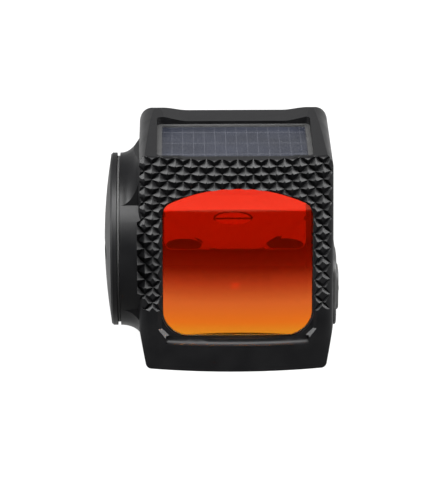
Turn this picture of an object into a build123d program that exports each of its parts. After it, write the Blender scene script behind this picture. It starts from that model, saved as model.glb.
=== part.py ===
from build123d import *
import math
import os

# Compact enclosed-emitter reflex sight, in millimetres.
# The model is drawn with x = 0 on the optical axis, y = 0 at the foremost point of the front face
# and z = 0 on the base. When written, it is moved so that the origin lies on the base, midway
# between the two mounting screws. +X is the keypad's side, -X the battery's, and +Y the rear.

# --- Driving dimensions -------------------------------------------------------------------------
SCREW_LINE_Y = 27.7        # mounting screws, behind the front face
SCREW_HALF_SPACING = 7.3
SCREW_BORE_R = 1.85
SCREW_HEAD_BORE_R = 2.6
SCREW_HEAD_SEAT_Z = 4.5

HALF_LEFT = 13.75          # optical axis to the battery side
HALF_RIGHT = 13.35         # optical axis to the keypad side
BASE_LEFT, BASE_RIGHT = 12.7, 12.35
FLANK_Z = 5.6              # height where the lower flanks reach full width
SIDE_DRAW = 0.15           # how much each side draws in at the top
BODY_LENGTH = 43.4
BODY_HEIGHT = 30.35
HOOD_LENGTH = 25.0
EAR_RISE = 0.8             # rear corners of the roof above its front edge
DECK_Z = 9.0
FRONT_BOW = 1.7            # centre of the front face ahead of its corners
REAR_BOW = 1.3
FRONT_LEAN = 3.5           # degrees

OPENING_HALF = 10.4        # front opening
OPENING_Z = 4.8
SHOULDER_Z = 23.4
ARCH_Z = 26.1
OPENING_CORNER_R = 3.6
SHOULDER_R = 2.0
CAVITY_INSET = 0.3         # ledge that the lens is bonded to
LIP_Z = 4.5                # lower edge of the recess, rounded with LIP_R
LIP_R = 0.75
SILL_Z = 9.8               # lower edge of the rear window
REAR_WALL = 1.5

LENS_SETBACK = 1.8
LENS_ELEMENT = 1.6         # edge thickness of each of the two elements
LENS_RADIUS = 95.0
SEAL = 0.15                # width of the bonded gaskets round the glass

BATTERY_Y, BATTERY_Z = 13.8, 14.8
CAP_R = 12.2
BOSS_FACE_X = -16.3
BOSS_FLARE = 2.9           # how far in the boss flares into the side
FLARE_LOW, FLARE_HIGH = 2.0, 4.0    # how far out, below and above the battery's axis
THREAD_R = 11.35
THREAD_LENGTH = 1.9
BAY_R = 10.3
BAY_FLOOR_X = -11.4
RUNNING = 0.05             # radial clearance of turning and sliding pieces

KNURL_PITCH = 2.14         # width of one diamond
KNURL_ROW = 2.2            # height of one diamond
KNURL_PEAK = 0.78          # groove root to the imaginary point of a diamond
KNURL_DEPTH_TOP = 0.66
KNURL_DEPTH_LOW = 0.36
KNURL_Z = 8.4              # lower edge of the knurled field

FLOOR_FRONT_Z, FLOOR_REAR_Z = 4.9, 7.3    # chamber floor
COVER_THICK = 1.0
BAY_TOP_Z = 3.2            # ceiling of the main board's bay

PIVOT_Y, PIVOT_Z = 34.0, 4.4
ELEVATION_Y = 38.9
DIAL_R = 2.8

KEYPAD_Y, KEYPAD_Z = 11.6, 9.6
KEYPAD_LENGTH, KEYPAD_HEIGHT = 14.4, 10.0
KEYPAD_POCKET_X = 11.2
KEYPAD_PROUD = 0.5
BUTTON_PROUD = 0.85

SOLAR_HALF = 10.8
SOLAR_FRONT_Y, SOLAR_REAR_Y = 3.9, 19.6
SOLAR_DEPTH = 1.0

# --- Helpers --------------------------------------------------------------------------------------


def along_x(sketch, start, end):
    """A sketch of (y, z) points extruded from x = start to x = end."""
    return extrude(Plane.YZ.offset(start) * sketch, amount=end - start)


def along_y(sketch, start, end):
    """A sketch of (x, z) points extruded from y = start to y = end."""
    return extrude(Plane.XZ.offset(-start) * sketch, amount=start - end)


def along_z(sketch, start, end):
    """A sketch of (x, y) points extruded from z = start to z = end."""
    return extrude(Pos(0, 0, start) * sketch, amount=end - start)


def block(x0, x1, y0, y1, z0, z1):
    """A box given by its limits."""
    return Pos((x0 + x1) / 2, (y0 + y1) / 2, (z0 + z1) / 2) * Box(x1 - x0, y1 - y0, z1 - z0)


def rod_x(radius, x0, x1, y, z):
    """A cylinder along X."""
    return Pos((x0 + x1) / 2, y, z) * Rot(0, 90, 0) * Cylinder(radius, x1 - x0)


def rod_z(radius, z0, z1, x, y):
    """A cylinder along Z."""
    return Pos(x, y, (z0 + z1) / 2) * Cylinder(radius, z1 - z0)


def ring_x(outer, inner, x0, x1, y, z):
    return rod_x(outer, x0, x1, y, z) - rod_x(inner, x0 - 1, x1 + 1, y, z)


def ring_z(outer, inner, z0, z1, x, y):
    return rod_z(outer, z0, z1, x, y) - rod_z(inner, z0 - 1, z1 + 1, x, y)


def group(shapes):
    """Separate solids as one shape."""
    whole = shapes[0]
    for shape in shapes[1:]:
        whole = whole + shape
    return whole


def rounded_rect(x0, x1, y0, y1, radius):
    """A rounded rectangle given by its limits."""
    return Pos((x0 + x1) / 2, (y0 + y1) / 2) * RectangleRounded(x1 - x0, y1 - y0, radius)


def front_y(x, z):
    """The front face: bowed in plan, leaning back with height."""
    half = (HALF_LEFT + HALF_RIGHT) / 2
    radius = (half ** 2 + FRONT_BOW ** 2) / (2 * FRONT_BOW)
    return radius - math.sqrt(radius ** 2 - x ** 2) + z * math.tan(math.radians(FRONT_LEAN))


def arch(inset, bottom, corner):
    """The arched window outline in (x, z), drawn in by `inset` on its sides and top."""
    half = OPENING_HALF - inset
    shoulder = SHOULDER_Z - inset
    crown = ARCH_Z - inset
    outline = make_face([
        Line((-half, bottom), (half, bottom)),
        Line((half, bottom), (half, shoulder)),
        ThreePointArc((half, shoulder), (0, crown), (-half, shoulder)),
        Line((-half, shoulder), (-half, bottom)),
    ])
    outline = fillet(outline.vertices().sort_by(Axis.Y)[-2:], SHOULDER_R - inset)
    return fillet(outline.vertices().group_by(Axis.Y)[0], corner)


# --- Housing --------------------------------------------------------------------------------------


def plan_outline(front, rear):
    """The plan of the body, with its front and rear bows at the given y."""
    outline = make_face([
        ThreePointArc((-HALF_LEFT, front + FRONT_BOW), (0, front), (HALF_RIGHT, front + FRONT_BOW)),
        Line((HALF_RIGHT, front + FRONT_BOW), (HALF_RIGHT, rear - REAR_BOW)),
        ThreePointArc((HALF_RIGHT, rear - REAR_BOW), (0, rear), (-HALF_LEFT, rear - REAR_BOW)),
        Line((-HALF_LEFT, rear - REAR_BOW), (-HALF_LEFT, front + FRONT_BOW)),
    ])
    return outline


def body_block():
    """Hood, base and deck before anything is cut, where three outlines meet."""
    top = BODY_HEIGHT + EAR_RISE
    lean = math.radians(FRONT_LEAN)
    front_plan = plan_outline(0, BODY_LENGTH + 20)
    front_plan = fillet(front_plan.vertices().sort_by(Axis.Y)[:2], 1.9)
    leaning = extrude(front_plan, amount=(top + 2) / math.cos(lean), dir=(0, math.sin(lean), math.cos(lean)))
    rear_plan = plan_outline(-20, BODY_LENGTH)
    rear_plan = fillet(rear_plan.vertices().sort_by(Axis.Y)[-2:], 3.0)
    base = along_z(rear_plan, 0, DECK_Z)
    base = fillet(base.edges().group_by(Axis.Z)[-1], 1.0)
    facing = Polygon(
        (-BASE_LEFT, 0), (BASE_RIGHT, 0), (HALF_RIGHT, FLANK_Z), (HALF_RIGHT, 16),
        (HALF_RIGHT - SIDE_DRAW, top), (-HALF_LEFT + SIDE_DRAW, top), (-HALF_LEFT, 16),
        (-HALF_LEFT, FLANK_Z), align=None,
    )
    facing = fillet(facing.vertices().sort_by(Axis.Y)[-2:], 2.6)
    facing = fillet(facing.vertices().sort_by(Axis.Y)[:2], 0.8)
    side = Polygon(
        (-2, 0), (HOOD_LENGTH + 0.62, 0), (HOOD_LENGTH + 0.62, DECK_Z), (HOOD_LENGTH, DECK_Z),
        (HOOD_LENGTH, top), (0, BODY_HEIGHT), (-2, BODY_HEIGHT), align=None,
    )
    side = fillet(side.vertices().sort_by_distance((HOOD_LENGTH, top, 0))[:1], 1.6)
    side = fillet(side.vertices().sort_by_distance((HOOD_LENGTH, DECK_Z, 0))[:1], 0.6)
    hood = along_x(side, -20, 20)
    return (hood + base) & leaning & along_y(facing, -2, BODY_LENGTH + 2)


def roof_swale():
    """The shallow sighting channel between the two raised rear corners of the roof."""
    outline = Polygon(
        (-7.4, BODY_HEIGHT), (7.4, BODY_HEIGHT), (10.6, BODY_HEIGHT + 0.75), (10.6, BODY_HEIGHT + 3),
        (-10.6, BODY_HEIGHT + 3), (-10.6, BODY_HEIGHT + 0.75), align=None,
    )
    outline = fillet(outline.vertices().group_by(Axis.Y)[0], 6)
    return along_y(outline, 1.0, HOOD_LENGTH + 1)


def battery_boss():
    """The round battery boss, flaring into the side of the body."""
    flare_x = BOSS_FACE_X + 0.05
    wall_x = flare_x + BOSS_FLARE

    def flared(rise, z0, z1):
        profile = make_face([
            Line((BOSS_FACE_X, 0), (BOSS_FACE_X, CAP_R)),
            Line((BOSS_FACE_X, CAP_R), (flare_x, CAP_R)),
            EllipticalCenterArc((flare_x, CAP_R + rise), BOSS_FLARE, rise, start_angle=270, arc_size=90),
            Line((wall_x, CAP_R + rise), (-12.4, CAP_R + rise)),
            Line((-12.4, CAP_R + rise), (-12.4, 0)),
            Line((-12.4, 0), (BOSS_FACE_X, 0)),
        ])
        turned = Pos(0, BATTERY_Y, BATTERY_Z) * revolve(profile, Axis.X)
        ahead = lens_tilt(block(-20, -12, 3.6, HOOD_LENGTH + 2, z0, z1))
        return turned & ahead & block(-20, -12, 0, HOOD_LENGTH, 0, BODY_HEIGHT - 0.35)

    core = rod_x(CAP_R, BOSS_FACE_X, -12.4, BATTERY_Y, BATTERY_Z)
    return core + flared(FLARE_LOW, 0.9, BATTERY_Z) + flared(FLARE_HIGH, BATTERY_Z, BODY_HEIGHT - 1.6)


def knurl_cutter():
    """A solid in front of the face whose rear is the negative of the knurl: crossed grooves with
    constant flank angle, cut deeper towards the top, so that the diamonds there are nearly sharp."""
    step_x, step_z = KNURL_PITCH / 2, KNURL_ROW / 2
    columns = range(-13, 14)
    rows = range(0, math.ceil((BODY_HEIGHT + 1 - KNURL_Z) / step_z) + 1)
    ahead = -4.0

    def node(i, j):
        x, z = i * step_x, KNURL_Z + j * step_z
        rise = (z - KNURL_Z) / (BODY_HEIGHT - KNURL_Z)
        depth = KNURL_DEPTH_LOW + (KNURL_DEPTH_TOP - KNURL_DEPTH_LOW) * min(1, rise * 1.3)
        proud = KNURL_PEAK if (i + j) % 2 else 0
        return Vector(x, front_y(x, z) + depth - proud, z)

    faces = []
    for i in columns[:-1]:
        for j in rows[:-1]:
            a, b, c, d = node(i, j), node(i + 1, j), node(i + 1, j + 1), node(i, j + 1)
            pairs = [(a, b, c), (a, c, d)] if (i + j) % 2 == 0 else [(a, b, d), (b, c, d)]
            faces += [Face(Wire.make_polygon(list(t), close=True)) for t in pairs]

    left, right, low, high = columns[0], columns[-1], rows[0], rows[-1]
    rims = [
        [node(i, low) for i in columns], [node(i, high) for i in columns],
        [node(left, j) for j in rows], [node(right, j) for j in rows],
    ]
    for rim in rims:
        ends = [Vector(rim[-1].X, ahead, rim[-1].Z), Vector(rim[0].X, ahead, rim[0].Z)]
        faces.append(Face(Wire.make_polygon(rim + ends, close=True)))
    corners = [node(left, low), node(right, low), node(right, high), node(left, high)]
    faces.append(Face(Wire.make_polygon([Vector(c.X, ahead, c.Z) for c in corners], close=True)))
    return Solid(Shell(faces))


def lens_tilt(shape):
    """Leans a piece of the lens group back with the front face, about the foot of the opening."""
    return Pos(0, 0, OPENING_Z) * Rot(-FRONT_LEAN, 0, 0) * Pos(0, 0, -OPENING_Z) * shape


def front_recess():
    """The chamfered recess ahead of the lens, with its lower corners cut at 45 degrees."""
    def outline(side, low, crown):
        drawn = make_face([
            Line((-side + 1.3, low), (side - 1.3, low)),
            Line((side - 1.3, low), (side, low + 1.3)),
            Line((side, low + 1.3), (side, SHOULDER_Z + 0.1)),
            ThreePointArc((side, SHOULDER_Z + 0.1), (0, crown), (-side, SHOULDER_Z + 0.1)),
            Line((-side, SHOULDER_Z + 0.1), (-side, low + 1.3)),
            Line((-side, low + 1.3), (-side + 1.3, low)),
        ])
        return fillet(drawn.vertices().sort_by(Axis.Y)[-2:], SHOULDER_R)

    mouth = Plane.XZ.offset(1.5) * outline(OPENING_HALF + 4.0, LIP_Z - 0.12, ARCH_Z + 0.46)
    throat = Plane.XZ.offset(-LENS_SETBACK) * outline(OPENING_HALF + 0.12, LIP_Z + 0.12, ARCH_Z + 0.05)
    return lens_tilt(loft([mouth, throat]))


def lip_rounding():
    """Rounds the lower edge of the recess along the bow of the front face."""
    half = (HALF_LEFT + HALF_RIGHT) / 2
    bow_radius = (half ** 2 + FRONT_BOW ** 2) / (2 * FRONT_BOW)
    face_y = OPENING_Z * math.tan(math.radians(FRONT_LEAN))
    section = make_face([
        Line((face_y - 1, LIP_Z + 0.4), (face_y + LIP_R, LIP_Z + 0.4)),
        Line((face_y + LIP_R, LIP_Z + 0.4), (face_y + LIP_R, LIP_Z)),
        RadiusArc((face_y + LIP_R, LIP_Z), (face_y, LIP_Z - LIP_R), LIP_R),
        Line((face_y, LIP_Z - LIP_R), (face_y - 1, LIP_Z - LIP_R)),
        Line((face_y - 1, LIP_Z - LIP_R), (face_y - 1, LIP_Z + 0.4)),
    ])
    centre_y = face_y + bow_radius
    sector = revolve(Plane.YZ * section, Axis((0, centre_y, 0), (0, 0, 1)), 21)
    return lens_tilt(Pos(0, centre_y, 0) * Rot(0, 0, -10.5) * Pos(0, -centre_y, 0) * sector)


def housing():
    body = body_block()
    front_top = body.edges().filter_by(
        lambda e: abs(e.center().Z - BODY_HEIGHT) < 0.3 and e.center().Y < 3.2 and e.length > 15
    )
    body = fillet(front_top, 0.7)
    body = body - roof_swale()
    body = body + battery_boss()

    # Window, lens seat and chamber
    body -= front_recess()
    body -= lip_rounding()
    seat = arch(-SEAL, OPENING_Z - SEAL, OPENING_CORNER_R)
    body -= lens_tilt(along_y(seat, LENS_SETBACK - 0.4, lens_back()))
    body -= chamber()
    body -= along_y(arch(CAVITY_INSET, SILL_Z, 1.3), HOOD_LENGTH - REAR_WALL - 1, HOOD_LENGTH + 1)
    body -= along_y(rear_rebate(0), HOOD_LENGTH - 1.2, HOOD_LENGTH + 1)

    # Battery bay
    body -= rod_x(THREAD_R, BOSS_FACE_X - 1, BOSS_FACE_X + THREAD_LENGTH, BATTERY_Y, BATTERY_Z)
    body -= rod_x(BAY_R, BOSS_FACE_X, BAY_FLOOR_X, BATTERY_Y, BATTERY_Z)
    body -= battery_lead_slot(0)

    # Solar recess
    body -= solar_box(0, SOLAR_DEPTH, 2)

    # Keypad pocket and its channel to the main board's bay
    body -= keypad_box(0, KEYPAD_POCKET_X, HALF_RIGHT + 2)
    body -= block(KEYPAD_POCKET_X, KEYPAD_POCKET_X + 0.5, 12.2, 14.8, 2.0, 6.0)
    body -= block(8.0, KEYPAD_POCKET_X + 0.5, 12.2, 14.8, 1.6, BAY_TOP_Z)

    # Bays under the chamber floor and the deck, closed by the bottom cover
    body -= along_z(cover_outline(0), -1, COVER_THICK)
    body -= along_z(cover_outline(0.25), 0, COVER_THICK + 0.35)
    body -= bays(0, BAY_TOP_Z, 6.6, 7.2)
    body -= block(-2.2, 2.2, 19.5, 21.5, 4.4, 6.0)
    body -= block(-4.8, 4.8, 13.5, 20.2, 4.4, 12) + rod_z(4.8, 4.4, 12, 0, 13.5)

    # Elevation adjuster
    body += rod_z(3.2, 6.4, 7.4, 0, ELEVATION_Y)
    body -= rod_z(DIAL_R + 0.1, DECK_Z - 1.1, DECK_Z + 1, 0, ELEVATION_Y)
    body -= rod_z(1.6 + RUNNING, 6, DECK_Z, 0, ELEVATION_Y)

    # Windage adjuster
    body -= rod_x(2.1, 11.8, HALF_RIGHT + 1, PIVOT_Y, PIVOT_Z)
    body -= rod_x(1.2 + RUNNING, 8, 12, PIVOT_Y, PIVOT_Z)

    # Mounting screws and the sockets that take the recoil posts
    for side in (-1, 1):
        x = side * SCREW_HALF_SPACING
        body -= rod_z(SCREW_BORE_R, -1, DECK_Z + 1, x, SCREW_LINE_Y)
        body -= rod_z(SCREW_HEAD_BORE_R, SCREW_HEAD_SEAT_Z, DECK_Z + 1, x, SCREW_LINE_Y)
        body -= rod_z(1.6, -1, 2.0, side * 8.6, 5.4)
    for x, y in cover_screw_places():
        body -= rod_z(0.8, 0, 2.9, x, y)

    return max((body - knurl_cutter()).solids(), key=lambda solid: solid.volume)


def lens_back():
    """How far back the lens group reaches, with a gap for its bond."""
    return LENS_SETBACK + 2 * LENS_ELEMENT + 0.5


def chamber():
    """The sealed chamber: arched roof, floor rising to the rear window's sill."""
    hollow = along_y(arch(CAVITY_INSET, FLOOR_FRONT_Z - 0.1, 3.3), lens_back() - 0.6, HOOD_LENGTH - REAR_WALL)
    floor = Polygon(
        (0, 0), (30, 0), (30, FLOOR_REAR_Z), (20, FLOOR_REAR_Z), (lens_back() + 0.4, FLOOR_FRONT_Z),
        (0, FLOOR_FRONT_Z), align=None,
    )
    return hollow - along_x(floor, -15, 15)


def rear_rebate(inset):
    return arch(-0.55 + inset, SILL_Z - 0.55 + inset, 1.6 - inset)


def solar_box(inset, depth, above):
    """The solar recess following the roof line, drawn in by `inset`."""
    outline = rounded_rect(
        -SOLAR_HALF - 0.3 + inset, SOLAR_HALF - 0.3 - inset, SOLAR_FRONT_Y + inset, SOLAR_REAR_Y - inset,
        max(0.7 - inset, 0.2),
    )
    return along_z(outline, BODY_HEIGHT - depth, BODY_HEIGHT + above)


def keypad_box(inset, x0, x1):
    """The keypad's outline extruded along X, drawn in by `inset`."""
    outline = rounded_rect(
        KEYPAD_Y - KEYPAD_LENGTH / 2 + inset, KEYPAD_Y + KEYPAD_LENGTH / 2 - inset,
        KEYPAD_Z - KEYPAD_HEIGHT / 2 + inset, KEYPAD_Z + KEYPAD_HEIGHT / 2 - inset, 2.2 - inset,
    )
    return along_x(outline, x0, x1)


def cover_outline(inset):
    """The bottom cover: wide under both bays, narrow between the mounting screws."""
    front = rounded_rect(-9.9 + inset, 9.9 - inset, 7.8 + inset, 23.6 - inset, 0.6)
    waist = rounded_rect(-4.4 + inset, 4.4 - inset, 20, 36, 0.5)
    rear = rounded_rect(-9.9 + inset, 9.9 - inset, 31.3 + inset, 42.0 - inset, 0.6)
    return front + waist + rear


def bays(grow, main_top, neck_top, rear_top):
    """The board bay, the neck between the mounting screws and the adjuster bay behind it."""
    bottom = COVER_THICK - 0.5
    main = block(-8.3 - grow, 8.3 + grow, 10.7 - grow, 22.6 + grow, bottom, main_top)
    neck = block(-3.6 - grow, 3.6 + grow, 20.9, 32.5, bottom, neck_top)
    rear = block(-9.0 - grow, 9.0 + grow, 32.1 - grow, 39.5 + grow, bottom, rear_top)
    tail = block(-6.8 - grow, 6.8 + grow, 38.0, 41.1 + grow, bottom, rear_top)
    return main + neck + rear + tail


def cover_screw_places():
    return [(x, y) for x in (-8.4, 8.4) for y in (9.2, 40.65)]


def battery_lead_slot(inset):
    """The slot that takes the negative contact's lead from the battery bay to the board bay."""
    upright = block(-11.9 + inset, BAY_FLOOR_X, 12.5 + inset, 15.1 - inset, 1.6 + inset, 7.0)
    foot = block(-11.9 + inset, -8.0, 12.5 + inset, 15.1 - inset, 1.6 + inset, BAY_TOP_Z - inset)
    return upright + foot


# --- Windows ----------------------------------------------------------------------------------------


def behind_sphere(vertex_y):
    """Everything within LENS_RADIUS behind a lens surface whose foremost point is at vertex_y."""
    return Pos(0, vertex_y + LENS_RADIUS, (OPENING_Z + ARCH_Z) / 2) * Sphere(LENS_RADIUS)


def lens_element(front_vertex, rear_vertex):
    blank = along_y(arch(0, OPENING_Z, OPENING_CORNER_R), 0, lens_back() + 0.5)
    return lens_tilt((blank & behind_sphere(front_vertex)) - behind_sphere(rear_vertex))


def lens_gasket():
    start, end = LENS_SETBACK + 0.4, lens_back()
    outer = along_y(arch(-SEAL, OPENING_Z - SEAL, OPENING_CORNER_R), start, end)
    return lens_tilt(outer - along_y(arch(0, OPENING_Z, OPENING_CORNER_R), start - 1, end + 1))


def rear_window():
    return along_y(rear_rebate(SEAL), HOOD_LENGTH - 1.2, HOOD_LENGTH - 0.2)


def rear_window_gasket():
    start, end = HOOD_LENGTH - 1.2, HOOD_LENGTH - 0.2
    return along_y(rear_rebate(0), start, end) - along_y(rear_rebate(SEAL), start - 1, end + 1)


# --- Solar cell -------------------------------------------------------------------------------------
SOLAR_FRAME = 0.7


def solar_gasket():
    return solar_box(0, SOLAR_DEPTH, -0.45) - solar_box(SOLAR_FRAME, SOLAR_DEPTH + 1, 1)


def solar_cell():
    return solar_box(SOLAR_FRAME, SOLAR_DEPTH, -0.7)


def solar_cover_glass():
    return solar_box(SOLAR_FRAME, 0.7, -0.3)


# --- Battery ----------------------------------------------------------------------------------------
CAP_RIM_X = BOSS_FACE_X - 0.43      # underside of the cap's rim, with the sealing ring in the gap
CAP_EDGE_X = CAP_RIM_X - 0.87
CAP_APEX_X = CAP_EDGE_X - 1.0
CAP_INSIDE_X = -15.95
SKIRT_END_X = -14.6
CELL_R, CELL_THICK = 10.0, 3.2      # a CR2032 cell
CELL_OUTER_X = -15.6


def on_battery_axis(profile):
    """A profile of (x, r) points turned about the battery's axis."""
    return Pos(0, BATTERY_Y, BATTERY_Z) * revolve(profile, Axis.X)


def battery_cap():
    chamfer_edge = 0.25
    crown = 11.2
    profile = make_face([
        Line((CAP_INSIDE_X, 0), (CAP_APEX_X, 0)),
        ThreePointArc((CAP_APEX_X, 0), (CAP_APEX_X + 0.23, crown / 2), (CAP_APEX_X + 0.9, crown)),
        Line((CAP_APEX_X + 0.9, crown), (CAP_EDGE_X, CAP_R - chamfer_edge)),
        Line((CAP_EDGE_X, CAP_R - chamfer_edge), (CAP_EDGE_X + chamfer_edge, CAP_R)),
        Line((CAP_EDGE_X + chamfer_edge, CAP_R), (CAP_RIM_X, CAP_R)),
        Line((CAP_RIM_X, CAP_R), (CAP_RIM_X, THREAD_R - RUNNING)),
        Line((CAP_RIM_X, THREAD_R - RUNNING), (SKIRT_END_X, THREAD_R - RUNNING)),
        Line((SKIRT_END_X, THREAD_R - RUNNING), (SKIRT_END_X, CELL_R + 0.4)),
        Line((SKIRT_END_X, CELL_R + 0.4), (CAP_INSIDE_X, CELL_R + 0.4)),
        Line((CAP_INSIDE_X, CELL_R + 0.4), (CAP_INSIDE_X, 0)),
    ])
    slot = along_x(Pos(BATTERY_Y, BATTERY_Z) * SlotOverall(14.0, 1.7), CAP_APEX_X - 1, CAP_APEX_X + 0.9)
    return on_battery_axis(profile) - slot


def cap_o_ring():
    ring = Torus(THREAD_R + 0.22, 0.2)
    return Pos((BOSS_FACE_X + CAP_RIM_X) / 2, BATTERY_Y, BATTERY_Z) * Rot(0, 90, 0) * ring


def cap_contact():
    plate = rod_x(7.0, CAP_INSIDE_X, CAP_INSIDE_X + 0.15, BATTERY_Y, BATTERY_Z)
    raised = rod_x(3.2, CAP_INSIDE_X, CELL_OUTER_X - 0.06, BATTERY_Y, BATTERY_Z)
    return plate + raised


def coin_cell():
    end_x = CELL_OUTER_X + CELL_THICK
    can = rod_x(CELL_R, CELL_OUTER_X, end_x - 0.5, BATTERY_Y, BATTERY_Z)
    can = fillet(can.edges().filter_by(GeomType.CIRCLE), 0.24)
    return can + rod_x(CELL_R - 1.2, end_x - 0.6, end_x, BATTERY_Y, BATTERY_Z)


def battery_insulator():
    sleeve = ring_x(BAY_R - 0.02, CELL_R + 0.08, -14.3, BAY_FLOOR_X - 0.05, BATTERY_Y, BATTERY_Z)
    return sleeve - battery_lead_slot(-0.1)


def negative_contact():
    """A dished washer on the bay's floor, with a lead that turns under the chamber to the board."""
    seat, spring_x = BAY_FLOOR_X, CELL_OUTER_X + CELL_THICK + 0.04
    dish = make_face([
        Line((seat, 5.2), (seat, 6.6)),
        Line((seat, 6.6), (seat - 0.2, 6.6)),
        Line((seat - 0.2, 6.6), (seat - 0.2, 5.3)),
        Line((seat - 0.2, 5.3), (spring_x, 3.2)),
        Line((spring_x, 3.2), (spring_x, 2.4)),
        Line((spring_x, 2.4), (spring_x + 0.2, 2.4)),
        Line((spring_x + 0.2, 2.4), (spring_x + 0.2, 3.3)),
        Line((spring_x + 0.2, 3.3), (seat, 5.2)),
    ])
    lead_y0, lead_y1 = BATTERY_Y - 0.9, BATTERY_Y + 0.9
    lead = block(seat - 0.2, seat, lead_y0, lead_y1, 2.4, BATTERY_Z - 5.6)
    foot = block(seat - 0.2, -7.2, lead_y0, lead_y1, 2.4, 2.6)
    return on_battery_axis(dish) + lead + foot


# --- Keypad -----------------------------------------------------------------------------------------
BUTTON_OFFSET = 3.4                 # buttons ahead of and behind the keypad's centre
BUTTON_WIDE, BUTTON_TALL = 4.8, 6.0
BUTTON_TRAVEL = 0.4
BUTTON_INNER_X = 12.4
MEMBRANE_X = 11.98


def button_outline(y, grow):
    return Pos(y, KEYPAD_Z) * RectangleRounded(BUTTON_WIDE + 2 * grow, BUTTON_TALL + 2 * grow, 1.3 + grow)


def keypad_membrane():
    skin = keypad_box(0.03, MEMBRANE_X, HALF_RIGHT + KEYPAD_PROUD)
    skin = fillet(skin.faces().sort_by(Axis.X)[-1].edges(), 0.3)
    for y in (KEYPAD_Y - BUTTON_OFFSET, KEYPAD_Y + BUTTON_OFFSET):
        skin -= along_x(button_outline(y, RUNNING), MEMBRANE_X - 1, HALF_RIGHT + 1)
        skin -= along_x(button_outline(y, 0.5), MEMBRANE_X - 1, 12.94)
    return skin


def button(y, plus):
    """A button with a flange that the membrane keeps in, and a raised plus or minus."""
    face_x = HALF_RIGHT + BUTTON_PROUD
    post = along_x(button_outline(y, 0), BUTTON_INNER_X, face_x)
    post = fillet(post.faces().sort_by(Axis.X)[-1].edges(), 0.35)
    post += along_x(button_outline(y, 0.42), BUTTON_INNER_X, BUTTON_INNER_X + 0.45)
    mark = Rectangle(2.0, 0.5) + (Rectangle(0.5, 2.0) if plus else Rectangle(0.5, 0.5))
    return post + along_x(Pos(y, KEYPAD_Z) * mark, face_x - 0.1, face_x + 0.1)


def dome_switches():
    height = 0.36
    middle_x = KEYPAD_POCKET_X + 0.4 + height / 2
    return group([
        Pos(middle_x, y, KEYPAD_Z) * Rot(0, 90, 0) * Cone(2.0, 1.2, height)
        for y in (KEYPAD_Y - BUTTON_OFFSET, KEYPAD_Y + BUTTON_OFFSET)
    ])


def keypad_board():
    return keypad_box(0.15, KEYPAD_POCKET_X, KEYPAD_POCKET_X + 0.4)


def keypad_flex():
    low = KEYPAD_Z - KEYPAD_HEIGHT / 2 + 0.15
    drop = block(KEYPAD_POCKET_X + 0.15, KEYPAD_POCKET_X + 0.27, 12.6, 14.4, 2.4, low)
    return drop + block(7.2, KEYPAD_POCKET_X + 0.27, 12.6, 14.4, 2.4, 2.52)


# --- Boards -----------------------------------------------------------------------------------------
BOARD_Z0, BOARD_Z1 = 1.6, 2.4


def main_board():
    outline = rounded_rect(-8.1, 8.1, 10.9, 22.3, 0.4)
    return along_z(outline, BOARD_Z0, BOARD_Z1)


def board_components():
    """Controller, regulator, crystal, light sensor amplifier, passives and the emitter's connector."""
    placed = [
        (-3.2, 14.2, 3.6, 3.6, 0.65), (2.6, 13.6, 2.4, 1.6, 0.55), (5.2, 17.6, 2.0, 1.2, 0.5),
        (-4.8, 18.6, 1.9, 2.2, 0.6), (0, 19.3, 3.0, 1.2, 0.5),
    ]
    placed += [(x, 11.8, 0.5, 1.0, 0.35) for x in (-6.2, -4.6, 4.4, 5.8)]
    placed += [(x, 16.6, 1.0, 0.5, 0.35) for x in (0.2, 2.4)]
    return group([
        block(x - w / 2, x + w / 2, y - d / 2, y + d / 2, BOARD_Z1, BOARD_Z1 + h) for x, y, w, d, h in placed
    ])


# --- Emitter and its adjusters ----------------------------------------------------------------------
LEVER_HALF = 1.5
EMITTER_Z = 5.1
PIN_R = 0.6
FORK_INNER, FORK_OUTER = 2.75, 3.9
TRUNNION_R = 0.6
NUT_HALF = 2.3
CARRIAGE_HALF = 5.2
WINDAGE_THREAD_R = 1.0
ELEVATION_THREAD_R = 1.25


def emitter_rocker():
    head = block(-2.0, 2.0, 21.6, 22.4, 3.8, 6.0)
    lever = block(-LEVER_HALF, LEVER_HALF, 22.4, 36.4, 3.7, 5.1)
    eye = rod_x(1.45, -LEVER_HALF, LEVER_HALF, PIVOT_Y, PIVOT_Z)
    bar = block(-FORK_OUTER, FORK_OUTER, 36.0, 36.9, 3.3, 5.5)
    arms = block(-FORK_OUTER, FORK_OUTER, 36.8, 40.4, 3.2, 5.6)
    arms -= block(-FORK_INNER, FORK_INNER, 36.9, 42, 3, 6)
    arms -= block(-5, 5, ELEVATION_Y - 0.8, 42, PIVOT_Z - TRUNNION_R - RUNNING, PIVOT_Z + TRUNNION_R + RUNNING)
    bore = rod_x(PIN_R + 0.04, -3, 3, PIVOT_Y, PIVOT_Z)
    return head + lever + eye + bar + arms - bore


def emitter_board():
    return block(-1.8, 1.8, 21.2, 21.6, 4.1, 6.0)


def emitter_led():
    body = block(-0.6, 0.6, 21.02, 21.2, EMITTER_Z - 0.4, EMITTER_Z + 0.4)
    die = block(-0.12, 0.12, 20.96, 21.02, EMITTER_Z - 0.12, EMITTER_Z + 0.12)
    return body + die


def emitter_flex():
    run = block(-1.2, 1.2, 19.95, 21.5, 2.62, 2.74)
    rise = block(-1.2, 1.2, 21.38, 21.5, 2.62, 4.08)
    return run + rise


def rocker_pivot_pin():
    return rod_x(PIN_R, -2.6, 2.6, PIVOT_Y, PIVOT_Z)


def coil_spring(radius, wire, length, turns):
    """A helical spring along Z from z = 0."""
    path = Helix(pitch=(length - wire) / turns, height=length - wire, radius=radius)
    section = Plane(origin=path @ 0, z_dir=path % 0) * Circle(wire / 2)
    return Pos(0, 0, wire / 2) * sweep(section, path=path, is_frenet=True)


def rocker_spring():
    return Pos(0, 26.0, COVER_THICK + 0.02) * coil_spring(1.1, 0.3, 2.64, 4)


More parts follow.
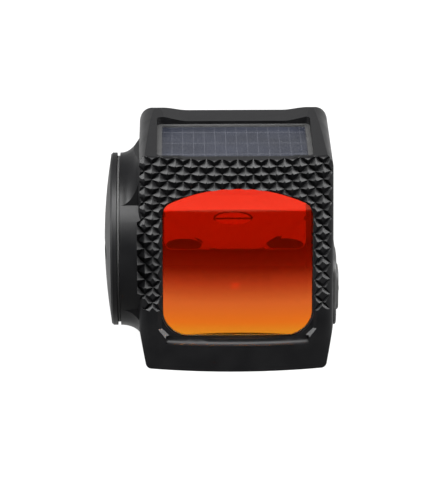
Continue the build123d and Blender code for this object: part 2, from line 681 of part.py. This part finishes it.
def windage_carriage():
    body = block(-CARRIAGE_HALF, CARRIAGE_HALF, 32.4, 35.6, 1.7, 6.9)
    body = chamfer(body.edges().filter_by(Axis.X), 0.3)
    body -= block(-LEVER_HALF - 0.15, LEVER_HALF + 0.15, 32, 36, 1, 6.2)
    body -= rod_x(PIN_R, -2.6, 3, PIVOT_Y, PIVOT_Z)
    body -= rod_x(WINDAGE_THREAD_R + RUNNING, 2.9, 6, PIVOT_Y, PIVOT_Z)
    return body


def windage_screw():
    head = rod_x(2.0, 11.85, 12.45, PIVOT_Y, PIVOT_Z)
    head -= block(12.1, 13, PIVOT_Y - 3, PIVOT_Y + 3, PIVOT_Z - 0.3, PIVOT_Z + 0.3)
    shank = rod_x(1.2, 8.4, 11.85, PIVOT_Y, PIVOT_Z)
    shank -= ring_x(2, 0.85, 10.0, 10.6, PIVOT_Y, PIVOT_Z) + ring_x(2, 0.8, 8.55, 8.9, PIVOT_Y, PIVOT_Z)
    thread = rod_x(WINDAGE_THREAD_R, 3.4, 8.4, PIVOT_Y, PIVOT_Z)
    return head + shank + thread


def windage_clip():
    return ring_x(1.9, 0.8, 8.58, 8.87, PIVOT_Y, PIVOT_Z)


def windage_o_ring():
    return Pos(10.3, PIVOT_Y, PIVOT_Z) * Rot(0, 90, 0) * Torus(1.02, 0.17)


def windage_spring():
    length = 9.0 - CARRIAGE_HALF - 0.1
    return Pos(-9.0 + 0.05, PIVOT_Y, PIVOT_Z) * Rot(0, 90, 0) * coil_spring(1.3, 0.35, length, 5)


def elevation_screw():
    y = ELEVATION_Y
    dial = rod_z(DIAL_R, 7.95, 8.9, 0, y)
    dial = chamfer(dial.edges().group_by(Axis.Z)[-1], 0.15)
    dial -= block(-4, 4, y - 0.4, y + 0.4, 8.4, 10)
    shank = rod_z(1.6, 5.75, 7.95, 0, y)
    shank -= ring_z(2, 1.25, 6.9, 7.45, 0, y) + ring_z(2.5, 1.0, 5.9, 6.3, 0, y)
    thread = rod_z(ELEVATION_THREAD_R, 2.2, 5.75, 0, y)
    return dial + shank + thread


def elevation_clip():
    return ring_z(2.1, 1.0, 5.95, 6.28, 0, ELEVATION_Y)


def elevation_o_ring():
    return Pos(0, ELEVATION_Y, 7.17) * Torus(1.43, 0.17)


def elevation_nut():
    y = ELEVATION_Y
    body = block(-NUT_HALF, NUT_HALF, y - 1.5, y + 1.45, 3.35, 5.45)
    body += rod_x(TRUNNION_R, -4.3, 4.3, y, PIVOT_Z)
    return body - rod_z(ELEVATION_THREAD_R + RUNNING, 3, 6, 0, y)


# --- Bottom cover -----------------------------------------------------------------------------------


def bottom_cover():
    plate = along_z(cover_outline(0.08), 0, COVER_THICK)
    for x in (-7.4, 7.4):
        for y in (11.7, 21.4):
            plate += rod_z(0.6, COVER_THICK, BOARD_Z0, x, y)
    for x, y in cover_screw_places():
        plate -= rod_z(1.3, -1, 0.62, x, y) + rod_z(0.85, -1, 2, x, y)
    return plate


def bottom_cover_gasket():
    sheet = along_z(cover_outline(0.3), COVER_THICK, COVER_THICK + 0.3)
    sheet -= bays(0.2, 3, 3, 3)
    for x, y in cover_screw_places():
        sheet -= rod_z(0.82, 0, 2, x, y)
    return sheet


def cover_screws():
    """Four countersunk screws with a small hexagon recess."""
    screws = []
    for x, y in cover_screw_places():
        screw = rod_z(1.22, 0.02, 0.6, x, y) + rod_z(0.75, 0.5, 2.8, x, y)
        recess = extrude(Pos(x, y, 0) * RegularPolygon(0.55, 6), amount=0.36)
        screws.append(screw - recess)
    return group(screws)


# --- Writing ----------------------------------------------------------------------------------------
first_vertex = LENS_SETBACK - 0.75
middle_vertex = first_vertex + LENS_ELEMENT
last_vertex = middle_vertex + LENS_ELEMENT

pieces = {
    "housing": housing(),
    "front_lens": lens_element(first_vertex, middle_vertex),
    "rear_lens": lens_element(middle_vertex, last_vertex),
    "lens_gasket": lens_gasket(),
    "rear_window": rear_window(),
    "rear_window_gasket": rear_window_gasket(),
    "solar_gasket": solar_gasket(),
    "solar_cell": solar_cell(),
    "solar_cover_glass": solar_cover_glass(),
    "battery_cap": battery_cap(),
    "cap_o_ring": cap_o_ring(),
    "cap_contact": cap_contact(),
    "coin_cell": coin_cell(),
    "battery_insulator": battery_insulator(),
    "negative_contact": negative_contact(),
    "keypad_membrane": keypad_membrane(),
    "brightness_up_button": button(KEYPAD_Y - BUTTON_OFFSET, True),
    "brightness_down_button": button(KEYPAD_Y + BUTTON_OFFSET, False),
    "dome_switches": dome_switches(),
    "keypad_board": keypad_board(),
    "keypad_flex": keypad_flex(),
    "main_board": main_board(),
    "board_components": board_components(),
    "emitter_rocker": emitter_rocker(),
    "emitter_board": emitter_board(),
    "emitter_led": emitter_led(),
    "emitter_flex": emitter_flex(),
    "rocker_pivot_pin": rocker_pivot_pin(),
    "rocker_spring": rocker_spring(),
    "windage_carriage": windage_carriage(),
    "windage_screw": windage_screw(),
    "windage_clip": windage_clip(),
    "windage_o_ring": windage_o_ring(),
    "windage_spring": windage_spring(),
    "elevation_screw": elevation_screw(),
    "elevation_clip": elevation_clip(),
    "elevation_o_ring": elevation_o_ring(),
    "elevation_nut": elevation_nut(),
    "bottom_cover": bottom_cover(),
    "bottom_cover_gasket": bottom_cover_gasket(),
    "cover_screws": cover_screws(),
}

os.makedirs("parts", exist_ok=True)
for name, piece in pieces.items():
    export_step(Pos(0, -SCREW_LINE_Y, 0) * piece, f"parts/{name}.step")
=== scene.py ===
import bmesh
import bpy
import math
from mathutils import Matrix, Vector


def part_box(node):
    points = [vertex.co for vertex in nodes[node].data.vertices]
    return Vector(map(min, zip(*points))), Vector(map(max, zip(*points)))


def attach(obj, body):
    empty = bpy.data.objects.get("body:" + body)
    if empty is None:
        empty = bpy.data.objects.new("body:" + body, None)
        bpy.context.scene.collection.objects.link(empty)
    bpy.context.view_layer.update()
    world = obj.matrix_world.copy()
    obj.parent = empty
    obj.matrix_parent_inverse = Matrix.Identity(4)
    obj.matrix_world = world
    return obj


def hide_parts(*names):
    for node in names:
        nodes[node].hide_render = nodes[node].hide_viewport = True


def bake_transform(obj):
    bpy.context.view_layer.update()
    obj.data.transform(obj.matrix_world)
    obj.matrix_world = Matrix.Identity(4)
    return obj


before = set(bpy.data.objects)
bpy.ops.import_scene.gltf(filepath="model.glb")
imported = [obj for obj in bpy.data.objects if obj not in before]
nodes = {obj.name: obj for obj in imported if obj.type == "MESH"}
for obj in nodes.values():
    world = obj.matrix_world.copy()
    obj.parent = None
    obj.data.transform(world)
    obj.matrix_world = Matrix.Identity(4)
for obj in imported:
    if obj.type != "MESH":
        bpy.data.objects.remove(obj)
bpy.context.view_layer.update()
MM = 0.001
MICRON = 1e-6

# --- Node helpers ---------------------------------------------------------------------------------
NOISE_LOW, NOISE_HIGH = 0.3, 0.7
NOISE_ROUGHNESS = 0.55


def feed(tree, value, socket):
    """Link the value if it is a socket, or set it as the input's own number or colour."""
    if isinstance(value, bpy.types.NodeSocket):
        tree.links.new(value, socket)
    else:
        socket.default_value = value


def add_node(tree, kind, inputs=(), **settings):
    made = tree.nodes.new("ShaderNode" + kind)
    for key, value in settings.items():
        setattr(made, key, value)
    for key, value in dict(inputs).items():
        feed(tree, value, made.inputs[key])
    return made


class Shader:
    """A material under construction: one Principled shader and the nodes that feed it."""

    def __init__(self, name, **values):
        self.material = bpy.data.materials.new(name)
        self.material.use_nodes = True
        self.tree = self.material.node_tree
        self.surface = self.tree.nodes["Principled BSDF"]
        self.output = self.tree.nodes["Material Output"]
        self.coordinates = self.node("TexCoord").outputs["Object"]
        for socket, value in values.items():
            self.surface.inputs[socket.replace("_", " ")].default_value = value

    def node(self, kind, inputs=(), **settings):
        return add_node(self.tree, kind, inputs, **settings)

    def link(self, source, socket):
        self.tree.links.new(source, self.surface.inputs[socket])

    def stretched(self, x, y, z):
        return self.node("Mapping", {"Vector": self.coordinates, "Scale": (x, y, z)}).outputs[0]

    def noise(self, scale, detail, vector=None):
        vector = vector or self.coordinates
        inputs = {"Vector": vector, "Scale": scale, "Detail": detail, "Roughness": NOISE_ROUGHNESS}
        return self.node("TexNoise", inputs).outputs["Fac"]

    def math(self, operation, a, b=0.5):
        return self.node("Math", {0: a, 1: b}, operation=operation).outputs[0]

    def spread(self, noise, low, high):
        """A noise carried from its usual reach onto low to high."""
        ends = {"From Min": NOISE_LOW, "From Max": NOISE_HIGH, "To Min": low, "To Max": high}
        return self.node("MapRange", {"Value": noise, **ends}).outputs[0]

    def ramp(self, fac, stops):
        made = self.node("ValToRGB", {"Fac": fac})
        elements = made.color_ramp.elements
        while len(elements) < len(stops):
            elements.new(0.5)
        for element, (place, colour) in zip(elements, stops):
            element.position = place
            element.color = (*colour, 1)
        return made.outputs["Color"]

    def place(self):
        return self.node("SeparateXYZ", {0: self.coordinates}).outputs

    def facing(self):
        """The surface's own direction, in object axes."""
        normal = self.node("TexCoord").outputs["Normal"]
        return self.node("SeparateXYZ", {0: normal}).outputs

    def mix_colour(self, fac, a, b):
        a, b = (c if isinstance(c, bpy.types.NodeSocket) else (*c, 1) for c in (a, b))
        return self.node("Mix", {0: fac, 6: a, 7: b}, data_type="RGBA").outputs[2]

    def mix_value(self, fac, a, b):
        return self.node("Mix", {0: fac, 2: a, 3: b}).outputs[0]

    def bump(self, *layers):
        """Layers of (height, strength, distance in metres), the coarsest first."""
        normal = None
        for height, strength, distance in layers:
            made = self.node("Bump", {"Height": height, "Strength": strength, "Distance": distance})
            if normal is not None:
                self.tree.links.new(normal, made.inputs["Normal"])
            normal = made.outputs[0]
        self.link(normal, "Normal")


def dress(names, shader):
    for name in names.split():
        for slot in nodes[name].material_slots:
            slot.material = shader.material


# --- Materials --------------------------------------------------------------------------------------
DECK_CEILING_Z = 9.6 * MM       # the rear deck's top lies below this
HOOD_END_Y = -2.7 * MM          # and it lies behind this
UPWARD = 0.9                    # least upward facing of a flat top
TURNING_PITCH = 0.16 * MM


def anodised():
    """Black anodising with a fine grain; the rear deck's flat top is smoother and glossier."""
    s = Shader("anodised_black", Specular_IOR_Level=0.05)
    p = s.place()
    grain = s.noise(5200, 2)
    blotch = s.noise(260, 4)
    flat = s.math("GREATER_THAN", s.facing()[2], UPWARD)
    low = s.math("LESS_THAN", p[2], DECK_CEILING_Z)
    behind_hood = s.math("GREATER_THAN", p[1], HOOD_END_Y)
    deck = s.math("MULTIPLY", s.math("MULTIPLY", flat, low), behind_hood)
    s.link(s.ramp(blotch, [(0.3, (0.0006, 0.0006, 0.0007)), (0.7, (0.0011, 0.0011, 0.0012))]), "Base Color")
    rough = s.math("ADD", s.spread(blotch, 0.33, 0.42), s.spread(grain, -0.03, 0.03))
    s.link(s.mix_value(deck, rough, s.spread(grain, 0.16, 0.22)), "Roughness")
    off_deck = s.math("SUBTRACT", 1.0, deck)
    s.bump((s.math("MULTIPLY", blotch, off_deck), 0.06, 30 * MICRON),
           (s.math("MULTIPLY", grain, off_deck), 0.22, 7 * MICRON))
    return s


def turned_black():
    """The battery cap: the same anodising over fine concentric turning marks."""
    s = Shader("anodised_turned", Specular_IOR_Level=0.07)
    low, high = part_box("battery_cap")
    centre = (low + high) / 2
    p = s.place()
    dy = s.math("SUBTRACT", p[1], centre[1])
    dz = s.math("SUBTRACT", p[2], centre[2])
    radius = s.math("SQRT", s.math("ADD", s.math("MULTIPLY", dy, dy), s.math("MULTIPLY", dz, dz)))
    rings = s.math("SINE", s.math("MULTIPLY", radius, 2 * math.pi / TURNING_PITCH))
    blotch = s.noise(300, 3)
    s.link(s.ramp(blotch, [(0.3, (0.0006, 0.0006, 0.0007)), (0.7, (0.0010, 0.0010, 0.0011))]), "Base Color")
    s.link(s.spread(blotch, 0.42, 0.50), "Roughness")
    s.bump((rings, 0.10, 3 * MICRON), (s.noise(6000, 2), 0.15, 5 * MICRON))
    return s


def rubber(name, base, rough):
    s = Shader(name, Specular_IOR_Level=0.2)
    blotch = s.noise(500, 4)
    s.link(s.ramp(blotch, [(0.3, (base * 0.8,) * 3), (0.7, (base * 1.25,) * 3)]), "Base Color")
    s.link(s.spread(blotch, *rough), "Roughness")
    s.bump((s.noise(7000, 2), 0.3, 8 * MICRON))
    return s


def metal(name, colour, rough, marks):
    """Drawn or turned metal with fine marks; marks is how much they are pressed together along x, y, z."""
    s = Shader(name, Metallic=1.0)
    lines = s.noise(3000, 3, vector=s.stretched(*marks))
    dark = tuple(c * 0.78 for c in colour)
    s.link(s.ramp(s.noise(220, 3), [(0.3, dark), (0.7, colour)]), "Base Color")
    s.link(s.spread(lines, rough * 0.75, rough * 1.3), "Roughness")
    s.bump((lines, 0.12, 3 * MICRON))
    return s


def black_oxide():
    s = Shader("black_oxide", Metallic=0.4, Specular_IOR_Level=0.1)
    tone = s.noise(700, 4)
    s.link(s.ramp(tone, [(0.3, (0.010, 0.010, 0.011)), (0.75, (0.026, 0.026, 0.028))]), "Base Color")
    s.link(s.spread(tone, 0.34, 0.5), "Roughness")
    s.bump((s.noise(5000, 2), 0.15, 4 * MICRON))
    return s


def plastic(name, colour, rough=(0.4, 0.52)):
    s = Shader(name)
    tone = s.noise(400, 3)
    light = tuple(min(1, c * 1.25) for c in colour)
    s.link(s.ramp(tone, [(0.3, colour), (0.7, light)]), "Base Color")
    s.link(s.spread(tone, *rough), "Roughness")
    s.bump((s.noise(6000, 2), 0.15, 5 * MICRON))
    return s


def led_resin():
    """Red resin that glows."""
    s = plastic("led_resin", (0.75, 0.10, 0.05), (0.1, 0.2))
    s.surface.inputs["Emission Color"].default_value = (1, 0.03, 0.01, 1)
    s.surface.inputs["Emission Strength"].default_value = 6
    return s


def circuit_board():
    """Green solder mask over copper traces."""
    s = Shader("circuit_board", Coat_Weight=0.3, Coat_Roughness=0.2)
    p = s.place()
    runs = s.math("PINGPONG", s.math("ADD", p[0], s.math("SNAP", p[1], 1.3 * MM)), 0.35 * MM)
    trace = s.math("LESS_THAN", runs, 0.09 * MM)
    s.link(s.mix_colour(trace, (0.008, 0.055, 0.028), (0.02, 0.12, 0.05)), "Base Color")
    s.link(s.spread(s.noise(600, 3), 0.3, 0.42), "Roughness")
    s.bump((trace, 0.3, 20 * MICRON))
    return s


def solar_silicon():
    """Dark blue-black cell with faint conductor lines."""
    s = Shader("solar_silicon", Specular_IOR_Level=0.06)
    p = s.place()
    fingers = s.math("LESS_THAN", s.math("PINGPONG", p[0], 0.75 * MM), 0.035 * MM)
    bars = s.math("LESS_THAN", s.math("PINGPONG", s.math("ADD", p[1], 16 * MM), 2.4 * MM), 0.10 * MM)
    lines = s.math("MAXIMUM", fingers, bars)
    panel = s.ramp(s.noise(160, 4), [(0.3, (0.0024, 0.0027, 0.0042)), (0.7, (0.0040, 0.0045, 0.0070))])
    s.link(s.mix_colour(lines, panel, (0.0105, 0.011, 0.0135)), "Base Color")
    s.link(s.mix_value(lines, 0.3, 0.45), "Roughness")
    return s


def clear_glass(name):
    """Thin window glass, faintly smeared."""
    s = Shader(name, Alpha=0.05, Roughness=0.02, Specular_IOR_Level=0.6)
    tint = (0.012, 0.013, 0.014)
    s.link(s.ramp(s.noise(120, 4), [(0.35, tint), (0.75, tuple(c * 0.9 for c in tint))]), "Base Color")
    return s


dress("housing bottom_cover", anodised())
dress("battery_cap", turned_black())
dress("keypad_membrane brightness_up_button brightness_down_button",
      rubber("keypad_rubber", 0.0045, (0.55, 0.7)))
dress("cap_o_ring windage_o_ring elevation_o_ring bottom_cover_gasket",
      rubber("seal_rubber", 0.014, (0.45, 0.6)))
dress("lens_gasket rear_window_gasket solar_gasket", rubber("black_sealant", 0.006, (0.5, 0.65)))
dress("solar_cell", solar_silicon())
dress("solar_cover_glass", clear_glass("cover_glass"))
dress("rear_window", clear_glass("window_glass"))
dress("cap_contact negative_contact dome_switches", metal("gold_plate", (0.83, 0.60, 0.26), 0.28, (1, 6, 1)))
dress("coin_cell", metal("cell_steel", (0.72, 0.72, 0.71), 0.25, (1, 8, 1)))
dress("battery_insulator", plastic("insulator_plastic", (0.012, 0.012, 0.013)))
dress("keypad_board main_board emitter_board", circuit_board())
dress("board_components", plastic("component_plastic", (0.015, 0.015, 0.017)))
dress("keypad_flex emitter_flex", plastic("flex_film", (0.42, 0.17, 0.03), (0.25, 0.35)))
dress("emitter_led", led_resin())
dress("emitter_rocker", plastic("rocker_plastic", (0.014, 0.014, 0.015)))
dress("windage_carriage elevation_nut", metal("machined_brass", (0.75, 0.55, 0.26), 0.3, (8, 1, 1)))
dress("rocker_pivot_pin rocker_spring windage_spring windage_clip elevation_clip",
      metal("spring_steel", (0.56, 0.56, 0.57), 0.28, (8, 1, 1)))
dress("windage_screw elevation_screw cover_screws", black_oxide())

# --- Lens -------------------------------------------------------------------------------------------
# Lengths are in mm, with y from the foot of the front face; the face leans back from its foot.
SCREW_LINE_Y = 27.7
LEAN = math.radians(3.5)
OPENING_HALF, OPENING_Z, SHOULDER_Z, ARCH_Z, CORNER_R, SHOULDER_R = 10.4, 4.8, 23.4, 26.1, 3.6, 2.0
LENS_RADIUS = 95.0
LENS_MIDDLE = (0.0, 15.0)       # where the rings of the mesh meet, in x and z
LENS_RINGS = 14
ARC_STEPS = 14
SMOOTH_ANGLE = math.radians(35)
GLASS_Y = 1.05                  # the front surface's foremost point
GLASS_THICK = 3.2
GLASS_INSET = 0.02
COATING_Y = GLASS_Y + 0.3
COATING_THICK = 0.03
COATING_INSET = 0.06


def arch_outline(inset):
    """The window's outline as points (x, z) in mm, counter-clockwise seen from the front."""
    half, low, shoulder, crown = OPENING_HALF - inset, OPENING_Z + inset, SHOULDER_Z - inset, ARCH_Z - inset
    rise = crown - shoulder
    radius = (half ** 2 + rise ** 2) / (2 * rise)
    centre_z = crown - radius
    corner = CORNER_R - inset
    small = SHOULDER_R - inset
    lift = math.asin((half - small) / (radius - small))
    eye = (half - small, centre_z + (radius - small) * math.cos(lift))
    points = []

    def arc(x, z, r, start, turn):
        for i in range(ARC_STEPS + 1):
            t = start + i / ARC_STEPS * turn
            points.append((x + r * math.cos(t), z + r * math.sin(t)))

    arc(-half + corner, low + corner, corner, math.pi, math.pi / 2)
    arc(half - corner, low + corner, corner, 1.5 * math.pi, math.pi / 2)
    arc(eye[0], eye[1], small, 0, math.pi / 2 - lift)
    for i in range(1, 4 * ARC_STEPS):
        t = lift - i / (4 * ARC_STEPS) * 2 * lift
        points.append((radius * math.sin(t), centre_z + radius * math.cos(t)))
    arc(-eye[0], eye[1], small, math.pi / 2 + lift, math.pi / 2 - lift)
    return points


def lens_piece(name, inset, front, rear, shader, rim=None):
    """A closed piece of the lens group between two surfaces y = front(x, z) and y = rear(x, z).

    Its edge takes the rim shader, if there is one.
    """
    mesh = bmesh.new()
    outline = arch_outline(inset)
    middle_x, middle_z = LENS_MIDDLE

    def sheet(surface):
        layers = []
        for ring in range(1, LENS_RINGS + 1):
            share = ring / LENS_RINGS
            layer = []
            for x, z in outline:
                px = middle_x + (x - middle_x) * share
                pz = middle_z + (z - middle_z) * share
                layer.append(mesh.verts.new((px, surface(px, pz), pz)))
            layers.append(layer)
        middle = mesh.verts.new((middle_x, surface(middle_x, middle_z), middle_z))
        return middle, layers

    def skin(middle, layers, outward):
        count = len(layers[0])
        for i in range(count):
            j = (i + 1) % count
            fan = [middle, layers[0][i], layers[0][j]]
            mesh.faces.new(fan if outward else fan[::-1])
            for low, high in zip(layers, layers[1:]):
                quad = [low[i], high[i], high[j], low[j]]
                mesh.faces.new(quad if outward else quad[::-1])

    near, near_layers = sheet(front)
    far, far_layers = sheet(rear)
    skin(near, near_layers, True)
    skin(far, far_layers, False)
    rim_near, rim_far = near_layers[-1], far_layers[-1]
    for i in range(len(outline)):
        j = (i + 1) % len(outline)
        face = mesh.faces.new([rim_near[i], rim_far[i], rim_far[j], rim_near[j]])
        face.material_index = 1 if rim else 0
    bmesh.ops.recalc_face_normals(mesh, faces=mesh.faces[:])
    for face in mesh.faces:
        face.smooth = True
    foot = Matrix.Translation((0, 0, OPENING_Z))
    mesh.transform(foot @ Matrix.Rotation(-LEAN, 4, "X") @ foot.inverted())
    mesh.transform(Matrix.Scale(MM, 4) @ Matrix.Translation((0, -SCREW_LINE_Y, 0)))
    data = bpy.data.meshes.new(name)
    mesh.to_mesh(data)
    mesh.free()
    obj = bpy.data.objects.new(name, data)
    bpy.context.scene.collection.objects.link(obj)
    data.materials.append(shader.material)
    if rim:
        data.materials.append(rim.material)
    chosen = dict(object=obj, active_object=obj, selected_objects=[obj], selected_editable_objects=[obj])
    with bpy.context.temp_override(**chosen):
        bpy.ops.object.shade_smooth_by_angle(angle=SMOOTH_ANGLE)
    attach(obj, "root")
    return obj


def dome(vertex):
    """A convex surface of the lens radius whose foremost point is at y = vertex."""
    middle = (OPENING_Z + ARCH_Z) / 2
    return lambda x, z: vertex + LENS_RADIUS - math.sqrt(LENS_RADIUS ** 2 - x ** 2 - (z - middle) ** 2)


def lens_glass():
    s = Shader("lens_glass", Roughness=0.0, IOR=1.5, Transmission_Weight=1.0, Specular_Tint=(1, 0.05, 0.0, 1))
    s.link(s.ramp(s.noise(90, 4), [(0.3, (1.0, 1.0, 1.0)), (0.8, (0.96, 0.97, 0.97))]), "Base Color")
    return s


def reflex_coating_with_painted_reflection():
    """The reflective layer just behind the glass block's front surface.

    It passes red. Its colour and how much of it is mirror are painted by height as a painted reflection:
    orange at the foot, a dark red band across the middle and a bright red band at the top. Height 0 is
    4 mm above the base and height 1 is 26 mm above it.
    """
    s = Shader("reflex_coating_with_painted_reflection", Metallic=1.0, Roughness=0.03)
    height = s.node("MapRange", {"Value": s.place()[2], "From Min": 4 * MM, "From Max": 26 * MM}).outputs[0]
    # Painted reflection: the colour by height paints orange at the foot for the floor it would mirror, dark
    # red across the middle and a bright red band at the top.
    tone = s.ramp(height, [
        (0.0, (0.56, 0.24, 0.014)), (0.12, (0.61, 0.13, 0.009)), (0.25, (0.52, 0.096, 0.017)),
        (0.38, (0.35, 0.033, 0.007)), (0.48, (0.17, 0.005, 0.001)), (0.57, (0.14, 0.001, 0.0)),
        (0.845, (0.14, 0.001, 0.0)), (0.86, (0.85, 0.20, 0.11)),
    ])
    s.link(tone, "Base Color")
    # Painted reflection too: how much mirror shows over the red see-through layer is set by height, nearly
    # all at the foot and little above.
    painted_cover_stops = [
        (0.0, 0.95), (0.25, 0.93), (0.38, 0.80), (0.48, 0.60), (0.57, 0.38),
        (0.64, 0.13), (0.845, 0.13), (0.86, 0.15),
    ]
    cover = s.ramp(height, [(place, (share,) * 3) for place, share in painted_cover_stops])
    clear = s.node("BsdfTransparent", {"Color": (0.89, 0.08, 0.03, 1)})
    blend = s.node("MixShader", {0: cover, 1: clear.outputs[0], 2: s.surface.outputs[0]})
    s.tree.links.new(blend.outputs[0], s.output.inputs["Surface"])
    return s


edge_blacking = plastic("edge_blacking", (0.004, 0.004, 0.004), (0.5, 0.6))
glass_front, glass_rear = dome(GLASS_Y), dome(GLASS_Y + GLASS_THICK)
lens_block = lens_piece("lens_block", GLASS_INSET, glass_front, glass_rear, lens_glass(), edge_blacking)
coating_front, coating_rear = dome(COATING_Y), dome(COATING_Y + COATING_THICK)
coating = lens_piece("lens_coating", COATING_INSET, coating_front, coating_rear, reflex_coating_with_painted_reflection())
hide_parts("front_lens", "rear_lens")

# --- Copies of the springs and flex -------------------------------------------------------------------
END_MARGIN = 0.1 * MM


def stretching(name, slot, bodies, start, end):
    """A copy of a node in its place, with its transform baked in, shown instead of the hidden node."""
    source = nodes[name]
    piece = bpy.data.objects.new(name + "_stretching", source.data.copy())
    piece.matrix_world = source.matrix_world
    bpy.context.scene.collection.objects.link(piece)
    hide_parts(name)
    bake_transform(piece)


def ends(name, axis):
    """The middles of a node's two end faces along one axis, a little inside it."""
    low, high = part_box(name)
    start, end = (low + high) / 2, (low + high) / 2
    start[axis] = low[axis] + END_MARGIN
    end[axis] = high[axis] - END_MARGIN
    return start, end


stretching("windage_spring", "steel", ("root", "windage_carriage"), *ends("windage_spring", 0))
stretching("rocker_spring", "steel", ("windage_carriage", "emitter_rocker"), *ends("rocker_spring", 2))
stretching("emitter_flex", "flex_film", ("windage_carriage", "emitter_rocker"), *ends("emitter_flex", 2))

# --- Floor, lights and camera -------------------------------------------------------------------------
FLOOR_RADIUS = 3.0
FLOOR_DROP = 0.02 * MM
THROUGH_GLASS = 10.5


def floor():
    s = Shader("floor_white", Roughness=0.9, Specular_IOR_Level=0.0)
    s.surface.inputs["Base Color"].default_value = (0.02, 0.02, 0.02, 1)
    s.surface.inputs["Emission Color"].default_value = (1, 1, 1, 1)
    s.surface.inputs["Emission Strength"].default_value = 0.95
    mesh = bmesh.new()
    bmesh.ops.create_circle(mesh, cap_ends=True, segments=96, radius=FLOOR_RADIUS)
    data = bpy.data.meshes.new("floor")
    mesh.to_mesh(data)
    mesh.free()
    obj = bpy.data.objects.new("floor", data)
    obj.location.z = -FLOOR_DROP
    data.materials.append(s.material)
    bpy.context.scene.collection.objects.link(obj)


def softbox(name, place, aim, size, power):
    light = bpy.data.lights.new(name, "AREA")
    light.shape = "RECTANGLE"
    light.size, light.size_y = size
    light.energy = power
    obj = bpy.data.objects.new(name, light)
    obj.location = place
    obj.rotation_euler = (Vector(aim) - Vector(place)).to_track_quat("-Z", "Y").to_euler()
    bpy.context.scene.collection.objects.link(obj)


def studio():
    """A room lit from behind and above and dim in front, yet white wherever the camera sees it.

    Light that has passed through glass is brighter, to make up for the dark lens coating.
    """
    world = bpy.data.worlds.new("studio")
    bpy.context.scene.world = world
    world.use_nodes = True
    tree = world.node_tree

    def node(kind, inputs=(), **settings):
        return add_node(tree, kind, inputs, **settings).outputs

    def ranged(socket, low, high, bottom, top):
        inputs = {"Value": socket, "From Min": low, "From Max": high, "To Min": bottom, "To Max": top}
        return node("MapRange", inputs, interpolation_type="SMOOTHSTEP")[0]

    direction = node("SeparateXYZ", {0: node("TexCoord")["Generated"]})
    path = node("LightPath")
    behind = ranged(direction[1], -0.35, 0.5, 0.02, 0.75)
    above = ranged(direction[2], 0.35, 0.95, 0.0, 0.3)
    through = ranged(path["Transmission Depth"], 0.4, 0.6, 1.0, THROUGH_GLASS)
    room = node("Math", {0: behind, 1: above}, operation="ADD")[0]
    lifted = node("Math", {0: room, 1: through}, operation="MULTIPLY")[0]
    plain_white_for = {0: path["Is Camera Ray"], 1: path["Is Transmission Ray"]}
    direct = node("Math", plain_white_for, operation="MAXIMUM")[0]
    colour = node("Mix", {0: direct, 2: lifted, 3: 1.0})[0]
    tree.links.new(colour, tree.nodes["Background"].inputs["Color"])


floor()
studio()
softbox("top_softbox", (0, -0.26, 0.50), (0, -0.01, 0.01), (0.55, 0.40), 32)
softbox("left_softbox", (-0.40, -0.12, 0.24), (0, -0.02, 0.01), (0.26, 0.26), 15)
softbox("right_softbox", (0.40, -0.12, 0.24), (0, -0.02, 0.01), (0.26, 0.26), 15)

AZIMUTH, ELEVATION, DISTANCE = math.radians(-0.8), math.radians(20), 0.465
FOCAL_LENGTH, SENSOR_WIDTH = 246.2, 36
scene = bpy.context.scene
scene.view_settings.view_transform = "Standard"
aim = Vector((-2.0, -14.0, 14.55)) * MM
away = Vector((
    math.sin(AZIMUTH) * math.cos(ELEVATION), -math.cos(AZIMUTH) * math.cos(ELEVATION), math.sin(ELEVATION),
))
camera = bpy.data.objects.new("camera", bpy.data.cameras.new("camera"))
camera.data.lens = FOCAL_LENGTH
camera.data.sensor_width = SENSOR_WIDTH
camera.data.clip_start = 0.01
camera.location = aim + away * DISTANCE
camera.rotation_euler = (-away).to_track_quat("-Z", "Y").to_euler()
scene.collection.objects.link(camera)
scene.camera = camera
